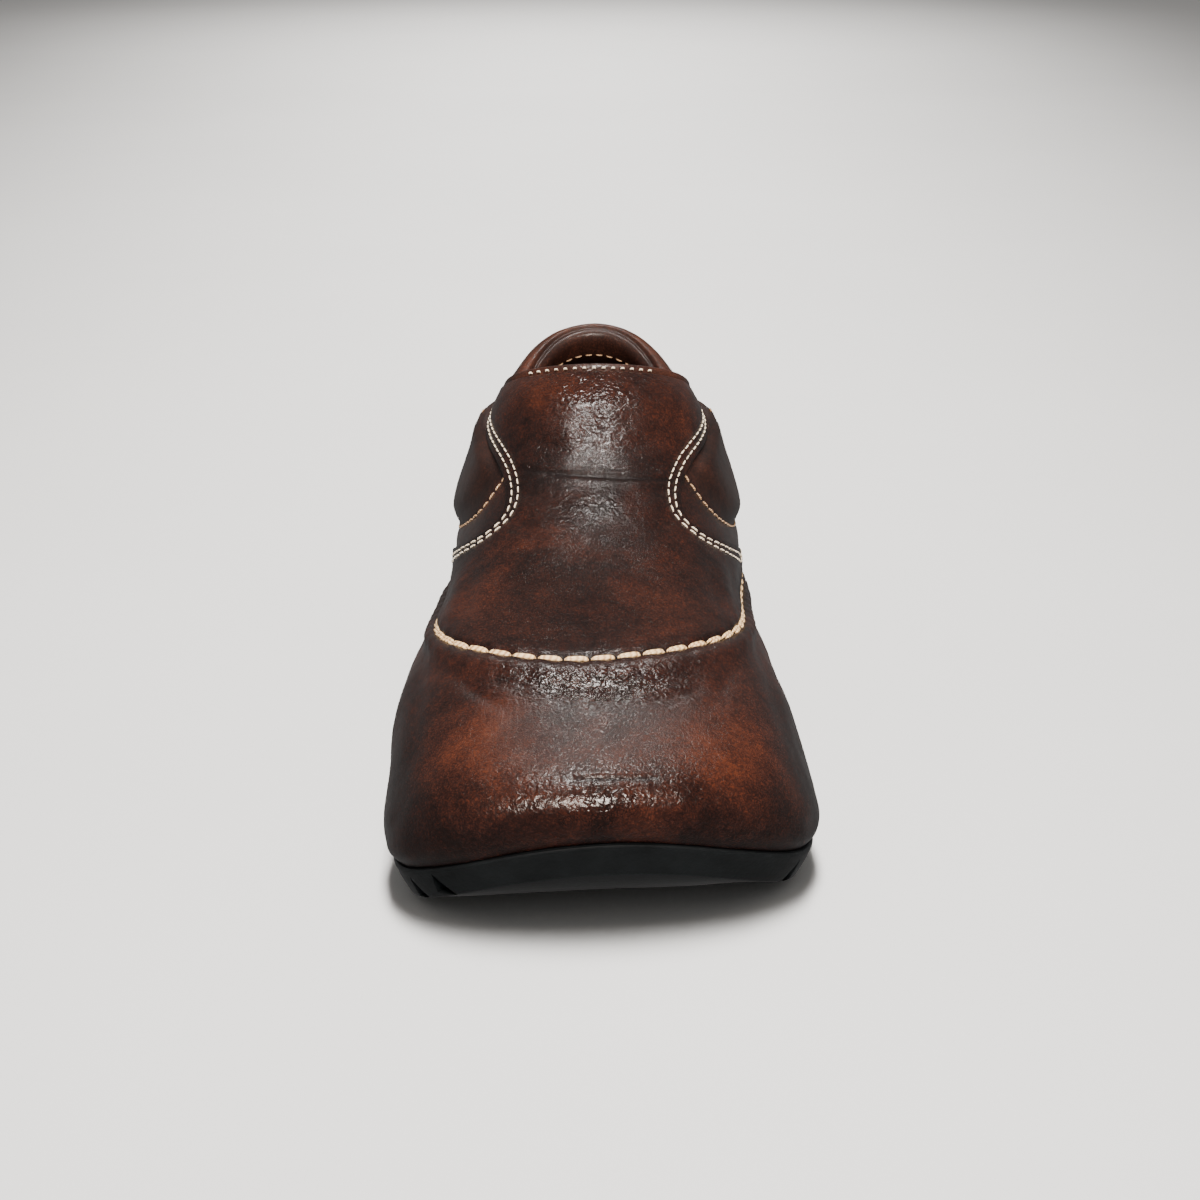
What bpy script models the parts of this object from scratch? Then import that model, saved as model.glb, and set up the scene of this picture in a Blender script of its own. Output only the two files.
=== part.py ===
"""Slip-on leather shoe for the left foot, standing empty on its rubber sole.

Metres, +Z up, floor at Z = 0. The toe points along -Y and the medial side lies at -X.
The last is a stack of level lines, each a closed loop round the foot. A place on it has
two coordinates: an angle (0 at the heel, half a turn at the toe, positive on the lateral
side) and a level (0 at the sole's edge, rising to the top line).
"""

import math

import bmesh
import bpy
import numpy as np
from mathutils import Matrix

MM = 0.001

# Driving dimensions of the last
LENGTH = 271 * MM
BALL_WIDTH = 97 * MM
THROAT_HEIGHT = 99 * MM
TOE_SPRING = 22 * MM

# Leather and padding
LAYER = 1.9 * MM            # vamp and toe piece, with the gap below them
GAP = 0.6 * MM              # between curved pieces
WALL = 1.6 * MM             # quarters with their lining
PAD_OUT = 4.2 * MM          # padding outside the quarters, at its fullest
PAD_IN = 2.4 * MM           # padding inside the quarters
ROLL = 3.2 * MM             # height of the rolled collar over the top line
INSOLE_THICKNESS = 3.0 * MM

# The level lines, from the sole's edge to the top line, in hundredths of the driving sizes.
# back, front: ends of the loop, of LENGTH from the toe tip.
# heel_round, toe_round: bluntness of the two ends; at_30 to at_150: half widths, all of BALL_WIDTH.
STATIONS = np.radians([0, 30, 60, 90, 120, 150, 180])
# level, back, front, heel_round, at_30, at_60, at_90, at_120, at_150, toe_round
PLAN = (
    ("feather", 99.0, 1.0, 59, 28.0, 33.0, 36.0, 48.0, 45.5, 113),
    ("bulge", 100.0, 0.0, 65, 31.5, 37.0, 40.5, 51.0, 47.5, 124),
    ("shoulder", 100.0, 2.5, 64, 31.0, 36.5, 38.0, 48.0, 39.0, 107),
    ("seam", 99.5, 18.0, 61, 29.5, 36.0, 40.5, 40.0, 33.0, 72),
    ("vamp", 99.0, 31.0, 56, 27.0, 35.0, 40.5, 39.0, 28.0, 64),
    ("instep", 98.5, 43.5, 49, 23.5, 32.5, 38.0, 36.0, 24.5, 54),
    ("tongue", 97.5, 51.0, 42, 20.0, 29.5, 33.5, 32.0, 24.0, 54),
    ("topline", 96.5, 55.5, 37, 17.5, 26.5, 29.0, 28.0, 22.5, 52),
)
# Heights of the same lines at the same stations, in hundredths of THROAT_HEIGHT.
# level, heel, at_30, at_60, at_90, at_120, at_150, toe
HEIGHTS = (
    ("feather", 27.0, 26.5, 23.5, 16.5, 10.0, 12.7, 24.2),
    ("bulge", 38.0, 37.0, 33.0, 26.0, 18.5, 20.5, 29.0),
    ("shoulder", 50.0, 49.0, 44.0, 39.0, 37.5, 38.5, 40.5),
    ("seam", 60.0, 57.0, 50.5, 45.5, 47.0, 52.0, 52.5),
    ("vamp", 66.0, 63.0, 55.5, 50.5, 54.5, 60.5, 62.5),
    ("instep", 72.5, 69.0, 60.5, 57.5, 66.5, 76.0, 78.0),
    ("tongue", 80.5, 76.5, 66.5, 63.5, 78.0, 90.0, 93.0),
    ("topline", 87.0, 82.5, 71.5, 68.5, 84.0, 96.0, 100.0),
)
TOPLINE = 7.0

# Left foot: the toe runs forward on the medial side, and the ball and waist shift
TOE_SKEW = 0.095
TOE_SKEW_ENDS = (40 * MM, 150 * MM)
BALL_SHIFT, BALL_PLACE, BALL_REACH = -3.2 * MM, 80 * MM, 55 * MM
BALL_SHIFT_RISE = (0 * MM, 40 * MM)
WAIST_SHIFT, WAIST_PLACE, WAIST_REACH = 2.6 * MM, 150 * MM, 45 * MM
WAIST_SHIFT_FALL = (15 * MM, 60 * MM)

# Where the vamp and toe piece end on each side: level, angle in degrees
FRONT_EDGE = (
    (0.0, 84.0),
    (1.5, 89.0),
    (3.0, 96.0),
    (3.7, 104.0),
    (4.05, 118.0),
    (4.25, 133.5),
    (4.45, 146.5),
    (4.75, 152.0),
    (5.05, 148.5),
    (5.5, 136.5),
    (6.1, 126.0),
    (7.0, 119.0),
)

# Sole: flat under the ball and the heel, raised at the toe and the waist
SOLE_SEAT_GAP = 0.35 * MM
FOREFOOT_FLAT = (56 * MM, 108 * MM)
HEEL_FLAT = (190 * MM, 256 * MM)
TOE_SPRING_CURVE = 3.4
WAIST_RISE = 6.0 * MM
HEEL_ROCKER = 2.0 * MM
# Rings of the sole's side, top to bottom: inset from the edge, share of the height
SOLE_SIDE = ((0.0, 1.0), (-0.5 * MM, 0.88), (0.6 * MM, 0.55), (2.6 * MM, 0.12), (3.6 * MM, 0.0))
LUG_PITCH, LUG_WIDTH, LUG_HEIGHT, LUG_DEPTH = 9.5 * MM, 5.2 * MM, 4.6 * MM, 9.0 * MM
LUG_LEAN = 2.2 * MM          # the wedge's top lies this far back of its middle
LUG_CLEAR_LATERAL = 46 * MM  # smooth stretch at the toe, from its middle
LUG_CLEAR_MEDIAL = 28 * MM

COLUMNS = 64
SOLE_COLUMNS = 80

BROWN = (0.115, 0.042, 0.024)
DARK_BROWN = (0.075, 0.030, 0.019)
BLACK = (0.012, 0.013, 0.014)
TAN = (0.055, 0.026, 0.018)


def spline_weights(knots, places, flat_ends):
    """Weights of the knots' values in a cubic spline at each place; flat or straight at its ends."""
    knots = np.asarray(knots, float)
    count, step = len(knots), np.diff(knots)
    bend, slope = np.zeros((count, count)), np.zeros((count, count))
    for i in range(1, count - 1):
        bend[i, i - 1:i + 2] = step[i - 1], 2 * (step[i - 1] + step[i]), step[i]
        slope[i, i - 1:i + 2] = 6 / step[i - 1], -6 / step[i - 1] - 6 / step[i], 6 / step[i]
    bend[0, 0] = bend[-1, -1] = 1
    if flat_ends:
        bend[0, :2] = 2 * step[0], step[0]
        slope[0, :2] = -6 / step[0], 6 / step[0]
        bend[-1, -2:] = step[-1], 2 * step[-1]
        slope[-1, -2:] = 6 / step[-1], -6 / step[-1]
    second = np.linalg.solve(bend, slope)
    places = np.asarray(places, float)
    k = np.clip(np.searchsorted(knots, places) - 1, 0, count - 2)
    width = step[k][..., None]
    left = (knots[k + 1] - places)[..., None]
    right = (places - knots[k])[..., None]
    own = np.eye(count)
    return ((second[k] * left ** 3 + second[k + 1] * right ** 3) / (6 * width)
            + (own[k] / width - second[k] * width / 6) * left
            + (own[k + 1] / width - second[k + 1] * width / 6) * right)


def ease(low, high, value):
    """Smooth step from 0 at low to 1 at high."""
    t = np.clip((value - low) / (high - low), 0, 1)
    return t * t * (3 - 2 * t)


def hill(place, reach, value):
    return np.exp(-((value - place) / reach) ** 2)


def last_point(angle, level):
    """Points of the last's surface. y is measured from the toe tip."""
    turn = (np.asarray(angle, float) + math.pi) % (2 * math.pi) - math.pi
    round_the_foot = spline_weights(STATIONS, np.abs(turn), True)
    up_the_last = spline_weights(np.arange(len(PLAN)), level, False)
    plan = np.array([row[1:] for row in PLAN]) / 100
    widths = plan[:, 2:].copy()
    widths[:, 1:-1] /= np.sin(STATIONS[1:-1])
    heights = np.array([row[1:] for row in HEIGHTS]) / 100
    from_toe = (1 + np.cos(turn))[..., None] / 2
    x = (round_the_foot @ widths.T) * np.sin(turn)[..., None] * BALL_WIDTH
    y = (plan[:, 1] + (plan[:, 0] - plan[:, 1]) * from_toe) * LENGTH
    z = (round_the_foot @ heights.T) * THROAT_HEIGHT
    x, y, z = ((c * up_the_last).sum(-1) for c in (x, y, z))
    y_left = y + TOE_SKEW * x * (1 - ease(*TOE_SKEW_ENDS, y))
    x_left = (x + BALL_SHIFT * hill(BALL_PLACE, BALL_REACH, y) * ease(*BALL_SHIFT_RISE, z)
              + WAIST_SHIFT * hill(WAIST_PLACE, WAIST_REACH, y) * (1 - ease(*WAIST_SHIFT_FALL, z)))
    return np.stack([x_left, y_left, z], -1)


def last_frame(angle, level):
    """Outward normal and upward tangent of the last's surface."""
    step = 1e-3
    across = last_point(angle + step, level) - last_point(angle - step, level)
    up = last_point(angle, level + step) - last_point(angle, level - step)
    normal = np.cross(across, up)
    return (-normal / np.linalg.norm(normal, axis=-1, keepdims=True),
            up / np.linalg.norm(up, axis=-1, keepdims=True))


def skin(angle, level, offset):
    """Points that stand off the last's surface."""
    angle, level, offset = np.broadcast_arrays(angle, level, offset)
    return last_point(angle, level) + last_frame(angle, level)[0] * offset[..., None]


def front_edge(level):
    """Angle of the vamp's and toe piece's side edge at a level."""
    knots, angles = zip(*FRONT_EDGE)
    return np.radians(spline_weights(knots, level, False) @ np.array(angles))


def material(name, colour, roughness):
    made = bpy.data.materials.new(name)
    made.use_nodes = True
    shader = made.node_tree.nodes["Principled BSDF"]
    shader.inputs["Base Color"].default_value = (*colour, 1)
    shader.inputs["Roughness"].default_value = roughness
    shader.inputs["Metallic"].default_value = 0
    return made


def solid_from(name, points, faces, finish):
    """An object with that closed mesh, faces outwards."""
    mesh = bpy.data.meshes.new(name)
    work = bmesh.new()
    corners = [work.verts.new(p) for p in points]
    for face in faces:
        work.faces.new([corners[i] for i in face])
    bmesh.ops.recalc_face_normals(work, faces=work.faces)
    work.to_mesh(mesh)
    work.free()
    mesh.shade_smooth()
    mesh.set_sharp_from_angle(angle=math.radians(40))
    made = bpy.data.objects.new(name, mesh)
    made.data.materials.append(finish)
    bpy.context.scene.collection.objects.link(made)
    return made


def shell(name, outer, inner, finish, closed_loop=False):
    """A leather piece between two grids of points; its columns run right round where it is a closed loop."""
    rows, columns = outer.shape[:2]
    points = np.concatenate([outer.reshape(-1, 3), inner.reshape(-1, 3)])
    spans = columns if closed_loop else columns - 1

    def at(row, column, side):
        return side * rows * columns + row * columns + column % columns

    faces = []
    for c in range(spans):
        for r in range(rows - 1):
            for side in (0, 1):
                quad = [at(r, c, side), at(r, c + 1, side), at(r + 1, c + 1, side), at(r + 1, c, side)]
                faces.append(quad if side else quad[::-1])
        for r in (0, rows - 1):
            faces.append([at(r, c, 0), at(r, c + 1, 0), at(r, c + 1, 1), at(r, c, 1)])
    if not closed_loop:
        for r in range(rows - 1):
            for c in (0, columns - 1):
                faces.append([at(r, c, 0), at(r + 1, c, 0), at(r + 1, c, 1), at(r, c, 1)])
    return solid_from(name, points, faces, finish)


def ring_stack(name, rings, finish):
    """A body between closed rings, with its ends bridged from side to side like the rungs of a ladder."""
    count = len(rings[0])
    points = np.concatenate(rings)
    faces = []
    for r in range(len(rings) - 1):
        for i in range(count):
            j = (i + 1) % count
            faces.append([r * count + i, r * count + j, (r + 1) * count + j, (r + 1) * count + i])
    for base in (0, (len(rings) - 1) * count):
        for i in range(count // 2):
            rung = [i, i + 1, (count - i - 1) % count, (count - i) % count]
            faces.append([base + k for k in dict.fromkeys(rung)])
    return solid_from(name, points, faces, finish)


def upper(finish):
    """The hollow upper: quarters and the ground that the front pieces are sewn on."""
    levels = (0, 0.5, 1, 1.4, 1.8, 2.2, 2.6, 3, 3.5, 4, 4.4, 4.8, 5.2, 5.6, 6, 6.5, 7)
    angles = np.arange(COLUMNS) * 2 * math.pi / COLUMNS
    angle, level = np.meshgrid(angles, levels)
    outer, inner = skin(angle, level, -LAYER), skin(angle, level, -LAYER - WALL)
    return shell("upper", outer, inner, finish, closed_loop=True)


def front_panel(name, levels, shares, finish, drop):
    """A leather panel sewn on the upper's front, between its two side edges. drop thins it at its rims."""
    share, level = np.meshgrid(shares, levels)
    angle = math.pi + share * (math.pi - front_edge(level))
    thin = np.zeros_like(level)
    thin[0], thin[-1] = drop
    thin[:, (0, -1)] = np.maximum(thin[:, (0, -1)], drop[0])
    return shell(name, skin(angle, level, -thin), skin(angle, level, GAP - LAYER), finish)


def toe_piece(finish):
    """Wraps the toe from the sole's edge up to the cross seam, with a full roll along the seam."""
    levels = (0.05, 0.35, 0.7, 1, 1.4, 1.8, 2.2, 2.6, 2.85, 2.94, 2.985)
    shares = np.sin(np.linspace(-1, 1, 37) * math.pi / 2.4) / math.sin(math.pi / 2.4)
    return front_panel("toe_piece", levels, shares, finish, (0.5 * MM, 0.9 * MM))


def vamp(finish):
    """From the cross seam over the instep to the throat, tongue in one piece with it."""
    levels = (3.015, 3.06, 3.25, 3.55, 3.8, 4, 4.12, 4.25, 4.4, 4.55,
              4.75, 5, 5.3, 5.65, 6.05, 6.5, 6.94, 7.04)
    shares = np.sin(np.linspace(-1, 1, 25) * math.pi / 2.6) / math.sin(math.pi / 2.6)
    return front_panel("vamp", levels, shares, finish, (0.6 * MM, 0.5 * MM))


def collar(finish):
    """Padded collar: hooks over the top line from one edge of the vamp round the heel to the other."""
    shares = np.linspace(-1, 1, 39)
    # outer leg from its stitched foot up, then over the top, then down inside
    leg_levels = np.array((0, 0.12, 0.32, 0.55, 0.8, 1.0))
    leg_fullness = np.array((0.12, 0.62, 0.95, 1.0, 0.9, 0.8))
    foot = 4.15 + 0.75 * ease(0.62, 1.0, np.abs(shares)) + 0.45 * (1 - ease(0.0, 0.3, np.abs(shares)))
    end = 1 - 0.5 * ease(0.88, 1.0, np.abs(shares))
    side_clear = math.radians(2.2)
    seat_gap = GAP * (1 + 0.6 * ease(0.8, 1.0, np.abs(shares)))

    def station(level):
        return shares * (front_edge(level) - side_clear)

    visible, hidden = [], []
    for rise, fullness in zip(leg_levels, leg_fullness):
        level = foot + rise * (TOPLINE - foot)
        angle = station(level)
        hidden.append(skin(angle, level, seat_gap - LAYER))
        visible.append(skin(angle, level, seat_gap - LAYER + PAD_OUT * fullness * end))
    top = np.full_like(shares, TOPLINE)
    angle = station(top)
    edge, (out, up) = last_point(angle, top), last_frame(angle, top)
    rows_over = ((0.5, 0.85, 0.0), (-0.15, 1.0, 0.5), (-0.75, 0.75, 1.0))
    for share_out, share_up, across in rows_over:
        seat = -LAYER + GAP - (WALL + 3 * GAP) * across
        reach = (-LAYER - WALL / 2) + np.where(share_out > 0, PAD_OUT, PAD_IN + WALL) * share_out * end
        hidden.append(edge + out * seat + up * 2 * GAP)
        visible.append(edge + out * reach[:, None] + up * (2 * GAP + ROLL * share_up * end)[:, None])
    for level_in, fullness in ((6.75, 1.0), (6.3, 0.7), (5.9, 0.25)):
        level = np.full_like(shares, level_in)
        angle = station(level)
        hidden.append(skin(angle, level, -LAYER - WALL - 2 * GAP))
        visible.append(skin(angle, level, -LAYER - WALL - 2 * GAP - PAD_IN * fullness * end))
    return shell("collar", np.array(visible), np.array(hidden), finish)


def sole_bottom(x, y):
    """Height of the tread above the floor. It rises square to the skewed toe; y from the toe tip."""
    y = y - TOE_SKEW * x * (1 - ease(*TOE_SKEW_ENDS, y))
    forward = np.clip((FOREFOOT_FLAT[0] - y) / FOREFOOT_FLAT[0], 0, 1.05)
    waist = np.clip((y - FOREFOOT_FLAT[1]) / (HEEL_FLAT[0] - FOREFOOT_FLAT[1]), 0, 1)
    backward = np.clip((y - HEEL_FLAT[1]) / (LENGTH - HEEL_FLAT[1]), 0, 1)
    return (TOE_SPRING * forward ** TOE_SPRING_CURVE
            + WAIST_RISE * np.sin(math.pi * waist) ** 2
            + HEEL_ROCKER * backward ** 2)


def outline(count):
    """The sole's edge: points round the foot from the heel, and their outward directions in plan."""
    angles = np.arange(count) * 2 * math.pi / count
    edge = last_point(angles, np.zeros(count))
    along = np.roll(edge, -1, 0) - np.roll(edge, 1, 0)
    out = np.stack([along[:, 1], -along[:, 0], np.zeros(count)], -1)
    out /= np.linalg.norm(out, axis=1, keepdims=True)
    return edge, -out


def sole_ring(inset, share):
    edge, out = outline(SOLE_COLUMNS)
    ring = edge - out * inset
    low = sole_bottom(ring[:, 0], ring[:, 1])
    ring[:, 2] = low + (edge[:, 2] - SOLE_SEAT_GAP - low) * share
    return ring


def lug_cutter():
    """Slanted wedges in the tread's rim, with a smooth stretch left at the toe."""
    edge, out = outline(SOLE_COLUMNS * 8)
    run = np.concatenate([[0], np.cumsum(np.linalg.norm(np.diff(edge[:, :2], axis=0), axis=1))])
    toe_run = run[len(run) // 2]
    points, faces = [], []
    wedge = ((-LUG_WIDTH / 2, -1 * MM), (LUG_WIDTH / 2, -1 * MM), (LUG_LEAN, LUG_HEIGHT))
    for side, clear in ((1, LUG_CLEAR_LATERAL), (-1, LUG_CLEAR_MEDIAL)):
        for n in range(int((toe_run - clear) // LUG_PITCH)):
            reach = LUG_PITCH * (n + 0.5)
            i = int(np.argmin(np.abs(run - (reach if side == 1 else run[-1] - reach))))
            along = np.array((-out[i, 1], out[i, 0], 0)) * side
            low = sole_bottom(edge[i, 0], edge[i, 1])
            for inset in (-3 * MM, LUG_DEPTH):
                foot = edge[i] - out[i] * inset
                for shift, rise in wedge:
                    points.append((*(foot + along * shift)[:2], low + rise))
            b = len(points) - 6
            faces += [[b, b + 1, b + 2], [b + 5, b + 4, b + 3], [b, b + 3, b + 4, b + 1],
                      [b + 1, b + 4, b + 5, b + 2], [b + 2, b + 5, b + 3, b]]
    made = solid_from("lug_cutter", points, faces, bpy.data.materials["sole_rubber"])
    made.hide_render = True
    made.display_type = "WIRE"
    return made


def outsole(finish):
    made = ring_stack("outsole", [sole_ring(inset, share) for inset, share in SOLE_SIDE], finish)
    cut = made.modifiers.new("lugs", "BOOLEAN")
    cut.operation = "DIFFERENCE"
    cut.solver = "EXACT"
    cut.object = lug_cutter()
    return made


def insole(finish):
    """Lies on the sole inside the upper, its top edge eased."""
    angles = np.arange(COLUMNS) * 2 * math.pi / COLUMNS
    foot = skin(angles, np.zeros(COLUMNS), -LAYER - WALL - 2 * GAP)
    seat = last_point(angles, np.zeros(COLUMNS))[:, 2]
    middle = foot.mean(0)
    rings = []
    for shrink, rise in ((0.0, 0.0), (0.0, 0.7), (0.02, 1.0)):
        ring = foot + (middle - foot) * shrink
        ring[:, 2] = seat + INSOLE_THICKNESS * rise
        rings.append(ring)
    return ring_stack("insole", rings, finish)


def stand_on_origin(pieces):
    """Moves the whole shoe so that the middle of its box, at the floor, is the origin."""
    corners = np.array([v.co for piece in pieces for v in piece.data.vertices])
    low, high = corners.min(0), corners.max(0)
    shift = Matrix.Translation((-(low[0] + high[0]) / 2, -(low[1] + high[1]) / 2, 0))
    for made in bpy.data.objects:
        made.data.transform(shift)


def main():
    for old in list(bpy.data.objects):
        bpy.data.objects.remove(old)
    brown = material("brown_leather", BROWN, 0.34)
    dark = material("collar_leather", DARK_BROWN, 0.42)
    rubber = material("sole_rubber", BLACK, 0.55)
    lining = material("insole_lining", TAN, 0.7)
    stand_on_origin([
        outsole(rubber),
        insole(lining),
        upper(brown),
        toe_piece(brown),
        vamp(brown),
        collar(dark),
    ])


main()
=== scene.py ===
# %% [markdown]
# # A slip-on leather shoe
#
# This lesson dresses the plain solids of a left shoe as the real thing: waxed brown leather pulled over
# a last, cream and white threads, a padded collar and a black rubber sole. The solids are loaded as a
# fixed frame. Everything made here is in metres, in the same place as the frame: the toe points along
# -Y, the heel along +Y, and the floor is Z = 0.

# %% Load the frame
import math

import bpy
import numpy as np
from mathutils import Matrix, Vector, noise


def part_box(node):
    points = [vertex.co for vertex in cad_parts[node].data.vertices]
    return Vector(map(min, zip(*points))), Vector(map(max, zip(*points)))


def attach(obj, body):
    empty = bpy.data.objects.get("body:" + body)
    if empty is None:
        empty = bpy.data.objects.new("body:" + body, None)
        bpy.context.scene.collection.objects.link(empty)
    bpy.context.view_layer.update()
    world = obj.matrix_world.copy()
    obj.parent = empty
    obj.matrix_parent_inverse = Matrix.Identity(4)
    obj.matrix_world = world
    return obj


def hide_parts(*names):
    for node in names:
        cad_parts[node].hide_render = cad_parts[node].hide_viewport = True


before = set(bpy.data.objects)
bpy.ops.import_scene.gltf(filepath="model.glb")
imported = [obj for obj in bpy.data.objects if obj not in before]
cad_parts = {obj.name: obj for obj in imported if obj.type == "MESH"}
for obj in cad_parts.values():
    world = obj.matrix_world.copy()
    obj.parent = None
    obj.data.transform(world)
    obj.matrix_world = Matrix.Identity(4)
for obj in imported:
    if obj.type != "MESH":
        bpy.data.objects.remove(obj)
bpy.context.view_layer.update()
MM = 0.001
print("nodes:", sorted(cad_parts))

# %% [markdown]
# ## The last
#
# A shoe takes its form from a last, a solid foot of wood. We could model each panel by eye, but then no
# two panels would fit each other. So we write the last down once, as eight level lines that run round
# the foot, and pull every panel over it. A place on it is an angle (0 at the heel, half a turn at the
# toe, positive on the lateral side) and a level (0 at the sole's edge, 7 at the top line).

# %% Level lines of the last
LENGTH, BALL_WIDTH, THROAT_HEIGHT = 271 * MM, 97 * MM, 99 * MM
LAYER = 1.9 * MM
TOE_SKEW, INSTEP_LEAN, WAIST_LEAN = 0.095, 3.2 * MM, 2.6 * MM
STATIONS = np.radians([0, 30, 60, 90, 120, 150, 180])
# level, back, front (of LENGTH); heel_round, half widths at 30 to 150 degrees, toe_round (of BALL_WIDTH)
PLAN = (
    ("feather", 99.0, 1.0, 59, 28.0, 33.0, 36.0, 48.0, 45.5, 113),
    ("bulge", 100.0, 0.0, 65, 31.5, 37.0, 40.5, 51.0, 47.5, 124),
    ("shoulder", 100.0, 2.5, 64, 31.0, 36.5, 38.0, 48.0, 39.0, 107),
    ("seam", 99.5, 18.0, 61, 29.5, 36.0, 40.5, 40.0, 33.0, 72),
    ("vamp", 99.0, 31.0, 56, 27.0, 35.0, 40.5, 39.0, 28.0, 64),
    ("instep", 98.5, 43.5, 49, 23.5, 32.5, 38.0, 36.0, 24.5, 54),
    ("tongue", 97.5, 51.0, 42, 20.0, 29.5, 33.5, 32.0, 24.0, 54),
    ("topline", 96.5, 55.5, 37, 17.5, 26.5, 29.0, 28.0, 22.5, 52),
)
# heights of the same levels at the seven stations (of THROAT_HEIGHT)
HEIGHTS = (
    (27.0, 26.5, 23.5, 16.5, 10.0, 12.7, 24.2),
    (38.0, 37.0, 33.0, 26.0, 18.5, 20.5, 29.0),
    (50.0, 49.0, 44.0, 39.0, 37.5, 38.5, 40.5),
    (60.0, 57.0, 50.5, 45.5, 47.0, 52.0, 52.5),
    (66.0, 63.0, 55.5, 50.5, 54.5, 60.5, 62.5),
    (72.5, 69.0, 60.5, 57.5, 66.5, 76.0, 78.0),
    (80.5, 76.5, 66.5, 63.5, 78.0, 90.0, 93.0),
    (87.0, 82.5, 71.5, 68.5, 84.0, 96.0, 100.0),
)
# level, angle of the vamp's and toe piece's side edge
FRONT_EDGE = ((0.0, 84.0), (1.5, 89.0), (3.0, 96.0), (3.7, 104.0), (4.05, 118.0), (4.25, 133.5),
              (4.45, 146.5), (4.75, 152.0), (5.05, 148.5), (5.5, 136.5), (6.1, 126.0), (7.0, 119.0))
SEAM, TOPLINE = 3.0, 7.0


def spline_weights(knots, places, flat_ends):
    """Weights of the knots' values in a cubic spline at each place."""
    knots = np.asarray(knots, float)
    count, step = len(knots), np.diff(knots)
    bend, slope = np.zeros((count, count)), np.zeros((count, count))
    for i in range(1, count - 1):
        bend[i, i - 1:i + 2] = step[i - 1], 2 * (step[i - 1] + step[i]), step[i]
        slope[i, i - 1:i + 2] = 6 / step[i - 1], -6 / step[i - 1] - 6 / step[i], 6 / step[i]
    bend[0, 0] = bend[-1, -1] = 1
    if flat_ends:
        bend[0, :2], slope[0, :2] = (2 * step[0], step[0]), (-6 / step[0], 6 / step[0])
        bend[-1, -2:], slope[-1, -2:] = (step[-1], 2 * step[-1]), (6 / step[-1], -6 / step[-1])
    second = np.linalg.solve(bend, slope)
    places = np.asarray(places, float)
    k = np.clip(np.searchsorted(knots, places) - 1, 0, count - 2)
    width, own = step[k][..., None], np.eye(count)
    left, right = (knots[k + 1] - places)[..., None], (places - knots[k])[..., None]
    return ((second[k] * left ** 3 + second[k + 1] * right ** 3) / (6 * width)
            + (own[k] / width - second[k] * width / 6) * left
            + (own[k + 1] / width - second[k + 1] * width / 6) * right)


def ease(low, high, value):
    t = np.clip((value - low) / (high - low), 0, 1)
    return t * t * (3 - 2 * t)


def hill(value, place, reach):
    return np.exp(-((value - place) / reach) ** 2)


def skew(x, y):
    """How far the toe's lateral side lies behind its medial side."""
    return TOE_SKEW * x * (1 - ease(40 * MM, 150 * MM, y))


def last_point(angle, level):
    """Points of the last's surface, before it is set down in the frame."""
    turn = (np.asarray(angle, float) + math.pi) % (2 * math.pi) - math.pi
    turn, level = np.broadcast_arrays(turn, level)
    around = spline_weights(STATIONS, np.abs(turn), True)
    upward = spline_weights(np.arange(len(PLAN)), level, False)
    plan = np.array([row[1:] for row in PLAN]) / 100
    widths = plan[:, 2:].copy()
    widths[:, 1:-1] /= np.sin(STATIONS[1:-1])
    heights = np.array(HEIGHTS) / 100
    x = ((around @ widths.T) * upward).sum(-1) * np.sin(turn) * BALL_WIDTH
    back = plan[:, 1] + (plan[:, 0] - plan[:, 1]) * (1 + np.cos(turn))[..., None] / 2
    y = (back * upward).sum(-1) * LENGTH
    z = ((around @ heights.T) * upward).sum(-1) * THROAT_HEIGHT
    x_left = (x - INSTEP_LEAN * hill(y, 80 * MM, 55 * MM) * ease(0, 40 * MM, z)
              + WAIST_LEAN * hill(y, 150 * MM, 45 * MM) * (1 - ease(15 * MM, 60 * MM, z)))
    return np.stack([x_left, y + skew(x, y), z], -1)


def last_frame(angle, level):
    """Outward normal and upward tangent of the last."""
    angle, level = np.broadcast_arrays(np.asarray(angle, float), np.asarray(level, float))
    across = last_point(angle + 1e-3, level) - last_point(angle - 1e-3, level)
    up = last_point(angle, level + 1e-3) - last_point(angle, level - 1e-3)
    normal = -np.cross(across, up)
    return (normal / np.linalg.norm(normal, axis=-1, keepdims=True),
            up / np.linalg.norm(up, axis=-1, keepdims=True))


def front_edge(level):
    knots, angles = zip(*FRONT_EDGE)
    return np.radians(spline_weights(knots, level, False) @ np.array(angles))


# %% [markdown]
# ## Setting the last down in the frame
#
# The frame has its origin under the middle of the shoe, and the last is measured from the toe tip. The
# shift between the two is found from a piece that we know in both: the box of the solid upper.

# %% Shift from the last to the frame
UPPER_LEVELS = (0, 0.5, 1, 1.4, 1.8, 2.2, 2.6, 3, 3.5, 4, 4.4, 4.8, 5.2, 5.6, 6, 6.5, 7)
turns, rises = np.meshgrid(np.arange(64) * 2 * math.pi / 64, UPPER_LEVELS)
solid = last_point(turns, rises) - LAYER * last_frame(turns, rises)[0]
low, high = (np.array(corner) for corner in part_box("upper"))
SHIFT = (low + high) / 2 - (solid.min((0, 1)) + solid.max((0, 1))) / 2
SHIFT[2] = 0
print("shift in mm:", (SHIFT / MM).round(2))


def skin(angle, level, offset=0.0, lift=0.0):
    """Points in the frame that stand off the last's surface, or rise past its top line."""
    angle, level, offset, lift = np.broadcast_arrays(np.asarray(angle, float), level, offset, lift)
    normal, up = last_frame(angle, level)
    return last_point(angle, level) + normal * offset[..., None] + up * lift[..., None] + SHIFT


# %% [markdown]
# ## The camera
#
# The camera looks at the toe from a little above, through a long lens from about 64 cm away, as one
# would photograph a shoe on a table. It is set first so that each later step can be judged by it.

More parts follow.
